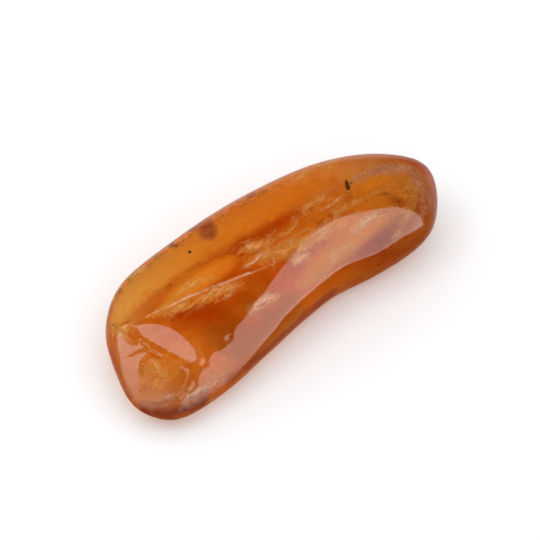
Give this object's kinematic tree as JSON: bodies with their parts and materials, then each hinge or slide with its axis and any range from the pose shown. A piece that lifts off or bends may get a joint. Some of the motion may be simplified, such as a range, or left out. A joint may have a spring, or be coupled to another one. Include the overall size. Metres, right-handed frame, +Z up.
{
  "type": "polished amber pebble with inclusion",
  "caption": "Polished kidney-shaped pebble of clear honey-orange amber, thick at one end, with inner fractures and a tiny dark insect-like inclusion, resting on its flat underside.",
  "frame": {"origin": "middle of the pebble's outline seen from above, at the height of its flat underside", "axes": "+X along the pebble's length to its thick round end, +Y to its straighter back flank, +Z up from the underside"},
  "size_m": [0.0548, 0.0216, 0.0141],
  "materials": {
    "amber": "clear honey-orange fossil resin, polished, with fine pits and inner crazing",
    "chitin": "dark brown, half glossy, as a fossil insect's shell"
  },
  "bodies": {
    "root": {"amber_upper": "amber", "amber_lower": "amber", "insect": "chitin"}
  },
  "joints": []
}
